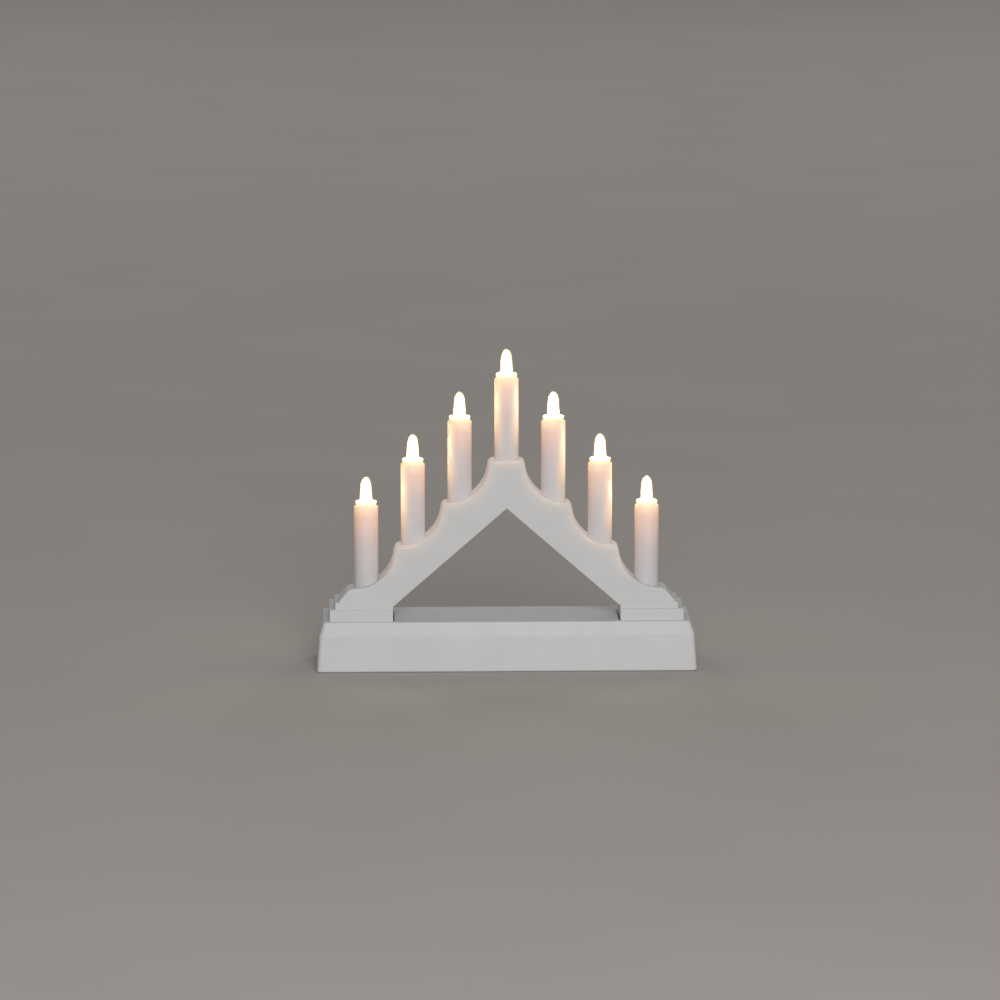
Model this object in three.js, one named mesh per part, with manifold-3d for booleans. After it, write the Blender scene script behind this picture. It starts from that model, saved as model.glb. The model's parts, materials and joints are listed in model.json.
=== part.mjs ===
// A seven-light candle arch in white plastic, battery powered.
// Millimetres. X runs along the arch, Y from its front to its back, Z up.
// The origin is the middle of the base on the surface it stands on.
import * as THREE from 'three';
import { mergeVertices } from 'three/addons/utils/BufferGeometryUtils.js';
import Module from 'manifold-3d';

const wasm = await Module();
wasm.setup();

// Clearances
const FIT = 0.25; // round each piece that plugs, slides or screws into another
const SEAT = 0.1; // under each piece that rests on another

// Candles
const SIDE_CANDLES = 3; // on each side of the middle one
const CANDLE_PITCH = 24.6;
const CANDLE_RISE = 22.5; // from one seat to the next
const TUBE_DIAMETER = 12.7;
const TUBE_WALL = 1.3;
const TUBE_SHOULDER = 1.0; // rounding of the tube's top edge
const TUBE_SHOWN = 43.3; // above its seat
const SOCKET_DEPTH = 5; // how far a tube plugs into the arch
const SOCKET_WALL = 1.4;
const SOCKET_FLOOR = 1.6;
const CRADLE_BACK = 3.5; // how far a socket wall reaches behind the tube's axis

// Flame lenses and diodes
const COLLAR_STEP = 0.75; // the collar ring is this much smaller than the tube, each side
const COLLAR_THICKNESS = 1.5;
const NECK_HEIGHT = 0.8;
const NECK_STEP = 1.0; // the neck is this much smaller than the tube, each side
const SPIGOT_LENGTH = 5;
const FLAME_DIAMETER = 6.8;
const FLAME_HEIGHT = 12.7;
const DIODE_DIAMETER = 5;
const DIODE_HEIGHT = 7.7; // above its flange
const DIODE_FLANGE = 1;
const DIODE_FLANGE_STEP = 0.4;

// Arch
const ARCH_WALL = 1.8;
const SEAT_MARGIN = 1.7; // arch in front of and behind each tube's bore
const EDGE_ROUND = 1.6; // rounding of the arch's upper front edge
const CORNER_RADIUS = 3.5; // convex corner at the outer side of each seat
const APEX_BAND = 25; // height of the arch above the tip of its opening
const FOOT_FLOOR = 2.4; // below the outermost sockets
const FOOT_RADIUS = 6; // rounding at the outer end of each foot
const FOOT_ANGLE = THREE.MathUtils.degToRad(50);
const FOOT_INNER_REACH = 16.4; // from the outermost candle in to the foot's inner tip
const OUTLINE_SKIRT = 10; // trimmed off below the feet
const COVER_THICKNESS = 1.4;
const COVER_SCREW_RISE = 15; // above the arch's underside

// Foot blocks: two slabs under each foot, with a ledge round each
const LOWER_SLAB = 6.1;
const UPPER_SLAB = 3.4;
const BLOCK_WALL = 2;
const BLOCK_SET_IN = 2.4; // inner face behind the foot's inner tip
const END_LEDGES = { upper: 1.1, lower: 2.9, base: 3.3 };
const FRONT_LEDGES = { upper: 0.6, lower: 1.5, base: 2.1 };
const REAR_LEDGES = { upper: 9.2, lower: 4.2, base: 9.2 };
const TONGUE = 1.5; // thickness of the tongue that sets a block in the base
const TONGUE_GAP = 0.8; // part of its slot that stays open beside the block's inner face
const TONGUE_SHORT = 1; // tongue shorter than the block, each end

// Base housing and bottom plate
const BASE_WALL = 2;
const BASE_DRAFT = 1.3; // how far the lower face leans in
const BEVEL_INSET = 2.3;
const BEVEL_HEIGHT = 7.2;
const BASE_CORNER = 2.2; // rounding of the upright edges
const RIM_HEIGHT = 0.6; // of the narrow rim that the base stands on
const RIM_INSET = 1.3; // how far that rim is set back
const HEADROOM = 2.9; // over the battery box
const PLATE_RECESS = 2.6; // bottom plate above the rim that the base stands on
const PLATE_THICKNESS = 2;
const POST_RADIUS = 3.5; // screw posts that carry the bottom plate
const POST_INSET_X = 12;
const POST_INSET_Y = 9.3;

// Battery box and door
const CELL_DIAMETER = 14.5;
const CELL_LENGTH = 50.5;
const CELL_NUB_DIAMETER = 5.5;
const CELL_NUB = 1.2;
const CELL_GAP = 0.35; // round and between the cells
const BOX_WALL = 1.5;
const BOX_X = -30; // middle of the box
const DOOR_THICKNESS = 1.7;
const DOOR_LAP = 1.5; // door beyond the box at each end
const DOOR_FLANGE = 1.2; // runner on each long side
const DOOR_FLANGE_THICKNESS = 0.7;
const DOOR_GRIPS = 4;
const DOOR_GRIP_PITCH = 2.4;
const DOOR_GRIP_WIDTH = 1.1;
const DOOR_GRIP_DEPTH = 0.6;
const CHANNEL_ROOF = 1.6;
const CHANNEL_WALL = 1.6;

// Battery contacts
const CONTACT_THICKNESS = 0.5;
const CONTACT_WIDTH = 9;
const CONTACT_TAB = 3;
const CONTACT_TAB_RISE = 1.4; // above the battery box
const SPRING_LENGTH = 6.2;
const SPRING_TURNS = 4;
const SPRING_WIRE = 0.8;
const SPRING_WIDE = 4.6; // radius at the plate
const SPRING_NARROW = 2.8; // radius at the cell

// Switch
const SWITCH_FROM_HARNESS = 5.5;
const SWITCH_Z = 11.6;
const SWITCH_TRAVEL = 4;
const KNOB_WIDTH = 5;
const KNOB_HEIGHT = 4.5;
const KNOB_PROUD = 1.4; // above the floor of its pocket
const KNOB_FLANGE = 1.4; // how far its foot reaches past it, each side
const KNOB_FLANGE_THICKNESS = 1;
const POCKET_DEPTH = 1;
const POCKET_MARGIN = 2.2; // round the slot
const SWITCH_BODY_DEPTH = 5.3;
const SWITCH_BODY_WALL = 1.3;
const SWITCH_RIB = 1.5;

// Circuit board
const BOARD_LENGTH = 30;
const BOARD_WIDTH = 18;
const BOARD_THICKNESS = 1.6;
const BOARD_FROM_HARNESS = 18.5;
const STANDOFF_HEIGHT = 3;
const STANDOFF_RADIUS = 2.5;
const STANDOFF_PIN = 1.1;
const STANDOFF_INSET = 4;
const CHIP = { length: 6, width: 4.4, height: 1.6 };
const RESISTOR = { bodyRadius: 1.2, bodyLength: 6.4, leadRadius: 0.3, length: 13 };

// Wires and screws
const WIRE_RADIUS = 0.7;
const WIRE_HOLE = 2.2; // radius
const WIRE_GAP = 0.3; // between a wire's end and what it is soldered to
const HARNESS_RISE = 5.5; // above the arch's underside
const HARNESS_FROM_CANDLE = 9.3; // inwards of the outermost candle
const HARNESS_BEHIND_CANDLE = 4;
const FOOT_SCREW_FROM_CANDLE = 8.3;
const FOOT_SCREW_AHEAD = 4.1; // in front of the candles
const FOOT_SCREW_GRIP = 8.5; // how far it reaches into the foot
const PLATE_SCREW_GRIP = 8;
const COVER_SCREW_GRIP = 7;
const SCREW_RADIUS = 1.3;
const SCREW_BOSS = 3.1; // radius
const SCREW_HEAD_RADIUS = 2.6;
const SCREW_HEAD = 1.6;

// Counts of facets
const ARC_STEPS = 4;
const ROUND_STEPS = 3;
const TUBE_SIDES = 24;
const LENS_SIDES = 20;
const SMALL_SIDES = 10;
const SPRING_STEPS = 8; // for each turn

// Levels, from the table up
const plateTop = PLATE_RECESS + PLATE_THICKNESS;
const cellFloor = plateTop + CELL_GAP;
const boxTop = cellFloor + CELL_DIAMETER + CELL_GAP + BOX_WALL;
const ceilingZ = boxTop + HEADROOM;
const baseTop = ceilingZ + BASE_WALL;
const creaseZ = baseTop - BEVEL_HEIGHT;
const blockBottom = baseTop + SEAT;
const slabTop = blockBottom + LOWER_SLAB;
const blockTop = slabTop + UPPER_SLAB;
const footZ = blockTop + SEAT;
const seatZ = (k) => footZ + FOOT_FLOOR + SOCKET_DEPTH + (SIDE_CANDLES - Math.abs(k)) * CANDLE_RISE;
const archTip = seatZ(0) - APEX_BAND;

// Places along X
const outerCandle = SIDE_CANDLES * CANDLE_PITCH;
const boreRadius = TUBE_DIAMETER / 2 + FIT;
const seatReach = TUBE_DIAMETER / 2;
const footInner = outerCandle - FOOT_INNER_REACH;
const footDrop = FOOT_FLOOR + SOCKET_DEPTH - FOOT_RADIUS * (1 - Math.cos(FOOT_ANGLE));
const footReach = seatReach + FOOT_RADIUS * Math.sin(FOOT_ANGLE) + footDrop / Math.tan(FOOT_ANGLE);
const footOuter = outerCandle + footReach;
const upperOuter = footOuter + END_LEDGES.upper;
const lowerOuter = upperOuter + END_LEDGES.lower;
const topHalfX = lowerOuter + END_LEDGES.base;
const baseHalfX = topHalfX + BEVEL_INSET + BASE_DRAFT;
const blockInner = footInner + BLOCK_SET_IN;
const archSlope = (archTip - footZ) / footInner;
const undersideZ = (x) => archTip - archSlope * Math.abs(x);

// Places along Y
const archDepth = 2 * (boreRadius + SEAT_MARGIN);
const sum = (ledges) => ledges.upper + ledges.lower + ledges.base;
const topDepth = sum(FRONT_LEDGES) + archDepth + sum(REAR_LEDGES);
const baseHalfY = topDepth / 2 + BEVEL_INSET + BASE_DRAFT;
const lowerFront = -topDepth / 2 + FRONT_LEDGES.base;
const upperFront = lowerFront + FRONT_LEDGES.lower;
const archFront = upperFront + FRONT_LEDGES.upper;
const archBack = archFront + archDepth;
const upperBack = archBack + REAR_LEDGES.upper;
const lowerBack = upperBack + REAR_LEDGES.lower;
const candleY = (archFront + archBack) / 2;
const coverY = archBack - COVER_THICKNESS; // inner face of the back cover

// Wiring and fastening points that several pieces share
const harnessX = outerCandle - HARNESS_FROM_CANDLE;
const harnessY = candleY + HARNESS_BEHIND_CANDLE;
const footScrewX = outerCandle - FOOT_SCREW_FROM_CANDLE;
const footScrewY = candleY - FOOT_SCREW_AHEAD;
const coverScrews = [-1.5, -0.5, 0.5, 1.5].map((step) => {
  const x = step * CANDLE_PITCH;
  return { x, z: undersideZ(x) + COVER_SCREW_RISE };
});
const plateScrews = [[-1, -1], [-1, 1], [1, -1], [1, 1]].map(([sx, sy]) => ({
  x: sx * (baseHalfX - POST_INSET_X),
  y: sy * (baseHalfY - POST_INSET_Y),
}));
const holeRadius = SCREW_RADIUS + FIT;

// Battery box and door
const cellPitch = CELL_DIAMETER + CELL_GAP;
const cellY = cellPitch / 2;
const cellZ = cellFloor + CELL_DIAMETER / 2;
const boxHalfX = (CELL_LENGTH + SPRING_LENGTH) / 2 + CONTACT_THICKNESS + SEAT + CELL_GAP;
const boxHalfY = cellY + CELL_DIAMETER / 2 + CELL_GAP;
const contactFace = boxHalfX - SEAT - CONTACT_THICKNESS; // from the box's middle
const doorHalfX = boxHalfX + DOOR_LAP;
const doorHalfY = boxHalfY + FIT;
const doorTravel = 2 * boxHalfX + DOOR_LAP;
const doorTop = PLATE_RECESS + DOOR_THICKNESS;
const runnerZ = doorTop - DOOR_FLANGE_THICKNESS;
const channelTop = plateTop + CHANNEL_ROOF;

// Switch and board
const switchX = harnessX + SWITCH_FROM_HARNESS;
const slotHalfX = (KNOB_WIDTH + SWITCH_TRAVEL) / 2 + FIT;
const slotHalfZ = KNOB_HEIGHT / 2 + FIT;
const insetAt = (z) => (z < creaseZ
  ? BASE_DRAFT * z / creaseZ
  : BASE_DRAFT + BEVEL_INSET * (z - creaseZ) / BEVEL_HEIGHT);
const wallFace = baseHalfY - insetAt(SWITCH_Z); // outside of the rear wall at the switch
const pocketFloor = wallFace - POCKET_DEPTH;
const switchFace = baseHalfY - BASE_WALL - insetAt(SWITCH_Z + KNOB_HEIGHT) - FIT;
const switchTrackHalfX = slotHalfX + KNOB_FLANGE;
const switchTrackHalfZ = slotHalfZ + KNOB_FLANGE;
const switchTrackY = switchFace - KNOB_FLANGE_THICKNESS - 2 * FIT; // bottom of the knob's track
const switchHalfX = switchTrackHalfX + SWITCH_BODY_WALL;
const switchHalfZ = switchTrackHalfZ + SWITCH_BODY_WALL;
const boardX = harnessX - BOARD_FROM_HARNESS;
const boardZ = channelTop + STANDOFF_HEIGHT + SEAT;
const boardTop = boardZ + BOARD_THICKNESS;
const standoffs = [[-1, -1], [1, 1]].map(([sx, sy]) => ({
  x: boardX + sx * (BOARD_LENGTH / 2 - STANDOFF_INSET),
  y: sy * (BOARD_WIDTH / 2 - STANDOFF_INSET),
}));

// Materials
function finish(color, roughness, metalness = 0) {
  return new THREE.MeshStandardMaterial({ color, roughness, metalness });
}

const whitePlastic = finish(0xdcdcda, 0.5);
const tubePlastic = finish(0xf0dcc6, 0.45);
const flamePlastic = finish(0xfff0c8, 0.3);
const epoxy = finish(0xf4ecd2, 0.2);
const blackPlastic = finish(0x26272a, 0.5);
const boardResin = finish(0x1f6a3c, 0.5);
const tanCeramic = finish(0xcbab7e, 0.6);
const cellJacket = finish(0x3c4a5c, 0.35, 0.3);
const springSteel = finish(0xb9bcc0, 0.3, 0.9);
const screwSteel = finish(0xa4a7ab, 0.35, 0.9);
const redWire = finish(0xb02a26, 0.5);
const blackWire = finish(0x202124, 0.5);
const whiteWire = finish(0xd8d6d0, 0.5);

// Solids

// A closed geometry as a solid that can be joined and cut.
function solid(geometry) {
  const bare = geometry.clone();
  bare.deleteAttribute('normal');
  bare.deleteAttribute('uv');
  const merged = mergeVertices(bare, 1e-4);
  const corners = [];
  for (let i = 0; i < merged.index.count; i += 3) {
    const [a, b, c] = [0, 1, 2].map((j) => merged.index.getX(i + j));
    if (a !== b && b !== c && c !== a) corners.push(a, b, c);
  }
  return new wasm.Manifold(new wasm.Mesh({
    numProp: 3,
    vertProperties: merged.attributes.position.array,
    triVerts: new Uint32Array(corners),
  }));
}

function geometryOf(body) {
  const made = body.getMesh();
  const geometry = new THREE.BufferGeometry();
  geometry.setAttribute('position', new THREE.BufferAttribute(made.vertProperties, 3));
  geometry.setIndex(new THREE.BufferAttribute(made.triVerts, 1));
  geometry.computeVertexNormals();
  return geometry;
}

function addMesh(parent, name, shape, material) {
  const geometry = shape.isBufferGeometry ? shape : geometryOf(shape);
  const mesh = new THREE.Mesh(geometry, material);
  mesh.name = name;
  parent.add(mesh);
  return mesh;
}

function box(x0, x1, y0, y1, z0, z1) {
  const block = new THREE.BoxGeometry(Math.abs(x1 - x0), Math.abs(y1 - y0), Math.abs(z1 - z0));
  block.translate((x0 + x1) / 2, (y0 + y1) / 2, (z0 + z1) / 2);
  return solid(block);
}

// An upright rod.
function rod(x, y, radius, z0, z1, sides = SMALL_SIDES) {
  const cylinder = new THREE.CylinderGeometry(radius, radius, z1 - z0, sides);
  cylinder.rotateX(Math.PI / 2);
  cylinder.translate(x, y, (z0 + z1) / 2);
  return solid(cylinder);
}

// A rod from front to back.
function rodY(x, z, radius, y0, y1, sides = SMALL_SIDES) {
  const cylinder = new THREE.CylinderGeometry(radius, radius, y1 - y0, sides);
  cylinder.translate(x, (y0 + y1) / 2, z);
  return solid(cylinder);
}

// A turned piece round Z. The profile is a list of [radius, height], from the lower end round the outside.
function turned(profile, sides) {
  const geometry = new THREE.LatheGeometry(profile.map(([r, z]) => new THREE.Vector2(r, z)), sides);
  geometry.rotateX(Math.PI / 2);
  return geometryOf(solid(geometry));
}

// A solid through rings of equally many points, from the lowest ring up.
function loft(rings) {
  const size = rings[0].length;
  const index = [];
  for (let level = 0; level + 1 < rings.length; level += 1) {
    for (let i = 0; i < size; i += 1) {
      const a = level * size + i;
      const b = level * size + (i + 1) % size;
      index.push(a, b, b + size, a, b + size, a + size);
    }
  }
  const last = (rings.length - 1) * size;
  for (let i = 1; i + 1 < size; i += 1) {
    index.push(0, i + 1, i);
    index.push(last, last + i, last + i + 1);
  }
  const geometry = new THREE.BufferGeometry().setFromPoints(rings.flat());
  geometry.setIndex(index);
  return solid(geometry);
}

// A rounded rectangle at one height, anticlockwise seen from above.
function roundedRing(halfX, halfY, radius, z) {
  const ring = [];
  for (let corner = 0; corner < 4; corner += 1) {
    const sx = corner === 0 || corner === 3 ? 1 : -1;
    const sy = corner < 2 ? 1 : -1;
    for (let step = 0; step <= ROUND_STEPS; step += 1) {
      const angle = (corner + step / ROUND_STEPS) * Math.PI / 2;
      ring.push(new THREE.Vector3(
        sx * (halfX - radius) + radius * Math.cos(angle),
        sy * (halfY - radius) + radius * Math.sin(angle),
        z,
      ));
    }
  }
  return ring;
}

// An outline in X and Z carried from front to back. A round makes its front and back edges round.
function extrudeY(shape, y0, y1, round = 0) {
  const geometry = new THREE.ExtrudeGeometry(shape, {
    depth: y1 - y0 - 2 * round,
    bevelEnabled: round > 0,
    bevelThickness: round,
    bevelSize: round,
    bevelOffset: -round,
    bevelSegments: ROUND_STEPS,
  });
  geometry.rotateX(Math.PI / 2);
  geometry.translate(0, y1 - round, 0);
  return solid(geometry);
}

// A wire of the given section along a smooth route.
function wire(section, route, steps) {
  const path = new THREE.CatmullRomCurve3(route.map((p) => new THREE.Vector3(...p)));
  return new THREE.ExtrudeGeometry(section, { steps, extrudePath: path, bevelEnabled: false });
}

function roundSection(radius, sides) {
  const points = [];
  for (let i = 0; i < sides; i += 1) {
    const angle = 2 * Math.PI * i / sides;
    points.push(new THREE.Vector2(radius * Math.cos(angle), radius * Math.sin(angle)));
  }
  return new THREE.Shape(points);
}

// Two insulated cores side by side.
function twinSection() {
  const section = new THREE.Shape();
  section.absarc(WIRE_RADIUS, 0, WIRE_RADIUS, -Math.PI / 2, Math.PI / 2, false);
  section.absarc(-WIRE_RADIUS, 0, WIRE_RADIUS, Math.PI / 2, 1.5 * Math.PI, false);
  return new THREE.Shape(section.getPoints(1));
}

// A pan-head screw that points up, with the underside of its head at zero.
function screw(length) {
  const tip = SCREW_RADIUS;
  return turned([
    [0, -SCREW_HEAD],
    [0.7 * SCREW_HEAD_RADIUS, -SCREW_HEAD],
    [SCREW_HEAD_RADIUS, -0.55 * SCREW_HEAD],
    [SCREW_HEAD_RADIUS, 0],
    [SCREW_RADIUS, 0],
    [SCREW_RADIUS, length - tip],
    [0, length],
  ], SMALL_SIDES);
}

// Base

function baseHousing() {
  const outerRing = (z) => roundedRing(baseHalfX - insetAt(z), baseHalfY - insetAt(z), BASE_CORNER, z);
  const innerRing = (z, level) => roundedRing(
    baseHalfX - BASE_WALL - insetAt(z),
    baseHalfY - BASE_WALL - insetAt(z),
    BASE_CORNER - BASE_WALL,
    level,
  );
  let housing = loft([outerRing(0), outerRing(creaseZ), outerRing(baseTop)]);
  housing = housing.subtract(loft([innerRing(0, -1), innerRing(0, 0), innerRing(creaseZ, creaseZ),
    innerRing(ceilingZ, ceilingZ)]));
  const outside = (z) => roundedRing(baseHalfX + 1, baseHalfY + 1, BASE_CORNER, z);
  const rim = (z) => roundedRing(baseHalfX - RIM_INSET, baseHalfY - RIM_INSET, BASE_CORNER - RIM_INSET, z);
  housing = housing.subtract(loft([outside(-1), outside(RIM_HEIGHT)])
    .subtract(loft([rim(-2), rim(RIM_HEIGHT + 1)])));
  for (const { x, y } of plateScrews) {
    housing = housing.add(rod(x, y, POST_RADIUS, plateTop + SEAT, ceilingZ + BASE_WALL / 2));
    housing = housing.subtract(rod(x, y, holeRadius, plateTop, plateTop + PLATE_SCREW_GRIP + FIT));
  }
  for (const side of [-1, 1]) {
    const inner = switchX + side * (switchHalfX + FIT);
    housing = housing.add(box(inner, inner + side * SWITCH_RIB, switchFace - SWITCH_BODY_DEPTH,
      wallFace - BASE_WALL / 2, SWITCH_Z - switchHalfZ, SWITCH_Z + switchHalfZ));
    housing = housing.subtract(rod(side * footScrewX, footScrewY, holeRadius, ceilingZ - 1, baseTop + 1));
    housing = housing.subtract(box(side * (blockInner - TONGUE_GAP), side * (blockInner + TONGUE + FIT),
      lowerFront + TONGUE_SHORT - FIT, lowerBack - TONGUE_SHORT + FIT, ceilingZ - 1, baseTop + 1));
  }
  housing = housing.subtract(rod(harnessX, harnessY, WIRE_HOLE, ceilingZ - 1, baseTop + 1));
  const pocketHalfX = slotHalfX + POCKET_MARGIN;
  const pocketHalfZ = slotHalfZ + POCKET_MARGIN;
  housing = housing.subtract(box(switchX - pocketHalfX, switchX + pocketHalfX, pocketFloor, baseHalfY + 1,
    SWITCH_Z - pocketHalfZ, SWITCH_Z + pocketHalfZ));
  return housing.subtract(box(switchX - slotHalfX, switchX + slotHalfX, switchFace, baseHalfY + 1,
    SWITCH_Z - slotHalfZ, SWITCH_Z + slotHalfZ));
}

// The bottom plate carries the battery box and the channel that the door slides in.
function bottomPlate() {
  const inset = BASE_WALL + insetAt(plateTop) + FIT;
  const ring = (z) => roundedRing(baseHalfX - inset, baseHalfY - inset, BASE_CORNER - BASE_WALL, z);
  const boxOuterX = boxHalfX + BOX_WALL;
  const boxOuterY = boxHalfY + BOX_WALL;
  const runnerHalfY = doorHalfY + DOOR_FLANGE + FIT;
  const channelStart = BOX_X - doorHalfX - FIT;
  const channelEnd = BOX_X + doorHalfX + doorTravel + FIT;
  const roofHalfY = runnerHalfY + CHANNEL_WALL;
  let plate = loft([ring(PLATE_RECESS), ring(plateTop)]);
  plate = plate.add(box(channelStart - CHANNEL_WALL, channelEnd + CHANNEL_WALL, -roofHalfY, roofHalfY,
    PLATE_RECESS + PLATE_THICKNESS / 2, channelTop));
  plate = plate.add(box(BOX_X - boxOuterX, BOX_X + boxOuterX, -boxOuterY, boxOuterY, plateTop, boxTop));
  for (const { x, y } of standoffs) {
    plate = plate.add(rod(x, y, STANDOFF_RADIUS, plateTop, channelTop + STANDOFF_HEIGHT));
    plate = plate.add(rod(x, y, STANDOFF_PIN, plateTop, boardTop + 1));
  }
  plate = plate.subtract(box(channelStart, channelEnd, -doorHalfY - FIT, doorHalfY + FIT, 0, plateTop));
  plate = plate.subtract(box(channelStart, channelEnd, -runnerHalfY, runnerHalfY, runnerZ - FIT, plateTop));
  plate = plate.subtract(box(BOX_X - boxHalfX, BOX_X + boxHalfX, -boxHalfY, boxHalfY, 0, boxTop - BOX_WALL));
  for (const side of [-1, 1]) {
    const tab = BOX_X + contactFace + CONTACT_THICKNESS / 2;
    const slotX = CONTACT_THICKNESS / 2 + FIT;
    const slotY = CONTACT_TAB / 2 + FIT;
    plate = plate.subtract(box(tab - slotX, tab + slotX, side * cellY - slotY, side * cellY + slotY,
      cellZ, boxTop + 1));
  }
  for (const { x, y } of plateScrews) {
    plate = plate.subtract(rod(x, y, holeRadius, 0, plateTop + 1));
  }
  return plate;
}

function batteryDoor() {
  const x0 = BOX_X - doorHalfX;
  const x1 = BOX_X + doorHalfX;
  const runner = doorHalfY + DOOR_FLANGE;
  let door = box(x0, x1, -doorHalfY, doorHalfY, PLATE_RECESS, doorTop);
  door = door.add(box(x0, x1, -runner, runner, runnerZ, doorTop));
  for (let i = 1; i <= DOOR_GRIPS; i += 1) {
    const x = x0 + i * DOOR_GRIP_PITCH;
    door = door.subtract(box(x, x + DOOR_GRIP_WIDTH, -doorHalfY / 2, doorHalfY / 2,
      PLATE_RECESS - 1, PLATE_RECESS + DOOR_GRIP_DEPTH));
  }
  return door;
}

// Foot block: the two slabs in one hollow moulding, open below. A toe carries on the line of the arch's
// underside and a tongue reaches down into the base. side is -1 on the left and 1 on the right.
function footBlock(side) {
  const slab = (inset, outer, front, back, z0, z1) => box(side * (blockInner + inset), side * (outer - inset),
    front + inset, back - inset, z0, z1);
  let block = slab(0, lowerOuter, lowerFront, lowerBack, blockBottom, slabTop);
  block = block.add(slab(0, upperOuter, upperFront, upperBack, slabTop - BLOCK_WALL, blockTop));
  block = block
    .subtract(slab(BLOCK_WALL, lowerOuter, lowerFront, lowerBack, baseTop, slabTop - BLOCK_WALL))
    .subtract(slab(BLOCK_WALL, upperOuter, upperFront, upperBack, baseTop, blockTop - BLOCK_WALL));
  const bedded = blockInner + BLOCK_WALL / 2;
  const toe = [
    [footInner + SEAT / archSlope, blockTop],
    [blockInner, undersideZ(blockInner)],
    [bedded, undersideZ(blockInner)],
    [bedded, blockTop],
  ].map(([x, z]) => new THREE.Vector2(side * x, z));
  block = block.add(extrudeY(new THREE.Shape(toe), archFront, archBack));
  block = block.add(box(side * blockInner, side * (blockInner + TONGUE), lowerFront + TONGUE_SHORT,
    lowerBack - TONGUE_SHORT, ceilingZ, blockBottom + BLOCK_WALL / 2));
  block = block.add(rod(side * footScrewX, footScrewY, SCREW_BOSS, blockBottom, blockTop - BLOCK_WALL / 2));
  block = block.subtract(rod(side * footScrewX, footScrewY, holeRadius, baseTop, blockTop + 1));
  block = block.subtract(rod(side * outerCandle, candleY, WIRE_HOLE, slabTop, blockTop + 1));
  return block.subtract(rod(side * harnessX, harnessY, WIRE_HOLE, slabTop, blockTop + 1));
}

// Arch

// Each cove is two arcs that meet smoothly: a convex corner, then a concave sweep down to the next seat.
const coveTurn = 2 * Math.atan(CANDLE_RISE / CANDLE_PITCH);
const coveRadius = CANDLE_PITCH / Math.sin(coveTurn) - CORNER_RADIUS;
const skirtZ = footZ - OUTLINE_SKIRT;

// The arch's top line from seat to seat, drawn in by an inset and closed below the feet.
function topOutline(inset) {
  const path = new THREE.Path();
  for (let k = 0; k < SIDE_CANDLES; k += 1) {
    const corner = k * CANDLE_PITCH + seatReach;
    path.absarc(corner, seatZ(k) - CORNER_RADIUS, CORNER_RADIUS - inset,
      Math.PI / 2, Math.PI / 2 - coveTurn, true);
    path.absarc(corner + CANDLE_PITCH, seatZ(k + 1) + coveRadius, coveRadius + inset,
      1.5 * Math.PI - coveTurn, 1.5 * Math.PI, false);
  }
  path.absarc(outerCandle + seatReach, seatZ(SIDE_CANDLES) - FOOT_RADIUS, FOOT_RADIUS - inset,
    Math.PI / 2, Math.PI / 2 - FOOT_ANGLE, true);
  const end = path.currentPoint.clone();
  path.lineTo(end.x + (end.y - skirtZ) / Math.tan(FOOT_ANGLE), skirtZ);
  const right = path.getPoints(ARC_STEPS).filter((p, i, all) => i === 0 || p.distanceTo(all[i - 1]) > 1e-6);
  const left = right.map((p) => new THREE.Vector2(-p.x, p.y)).reverse();
  return new THREE.Shape([...left, ...right]);
}

// The arch's form, drawn in by an inset from its top, underside and feet.
function archForm(inset, y0, y1, round = 0) {
  const tip = archTip + inset * Math.hypot(1, archSlope);
  const half = (tip - skirtZ) / archSlope;
  const opening = new THREE.Shape([
    new THREE.Vector2(-half, skirtZ),
    new THREE.Vector2(half, skirtZ),
    new THREE.Vector2(0, tip),
  ]);
  const form = extrudeY(topOutline(inset), y0, y1 + round, round);
  return form
    .subtract(extrudeY(opening, y0 - 1, y1 + round + 1))
    .subtract(box(-baseHalfX, baseHalfX, y0 - 1, y1 + round + 1, skirtZ - 1, footZ + inset))
    .subtract(box(-baseHalfX, baseHalfX, y1, y1 + round + 1, skirtZ - 1, seatZ(0) + 1));
}

const candleSteps = Array.from({ length: 2 * SIDE_CANDLES + 1 }, (_, i) => i - SIDE_CANDLES);

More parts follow.
